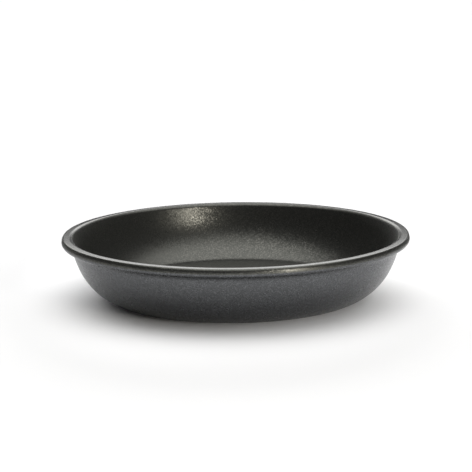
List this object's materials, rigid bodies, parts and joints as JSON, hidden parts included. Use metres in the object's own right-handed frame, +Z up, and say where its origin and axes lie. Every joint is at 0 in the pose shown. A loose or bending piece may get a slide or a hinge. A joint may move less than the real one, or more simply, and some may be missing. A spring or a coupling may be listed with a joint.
{
  "type": "tarte tatin pan",
  "caption": "Round handleless tarte tatin pan with flared curved sides, a beaded rim, a thick flat base with a steel induction disc, and dark non-stick coats.",
  "frame": {"origin": "middle of the flat underside, on the surface that the pan stands on", "axes": "+Z up along the pan's axis; X and Y are alike, because the pan is round"},
  "size_m": [0.28, 0.28, 0.0505],
  "materials": {
    "cast_aluminium": "satin",
    "inner_nonstick": "satin",
    "outer_nonstick": "satin",
    "disc_steel": "brushed"
  },
  "bodies": {
    "root": {"pan_body": "cast_aluminium", "inner_coating": "inner_nonstick", "outer_coating": "outer_nonstick", "induction_disc": "disc_steel"}
  },
  "joints": []
}
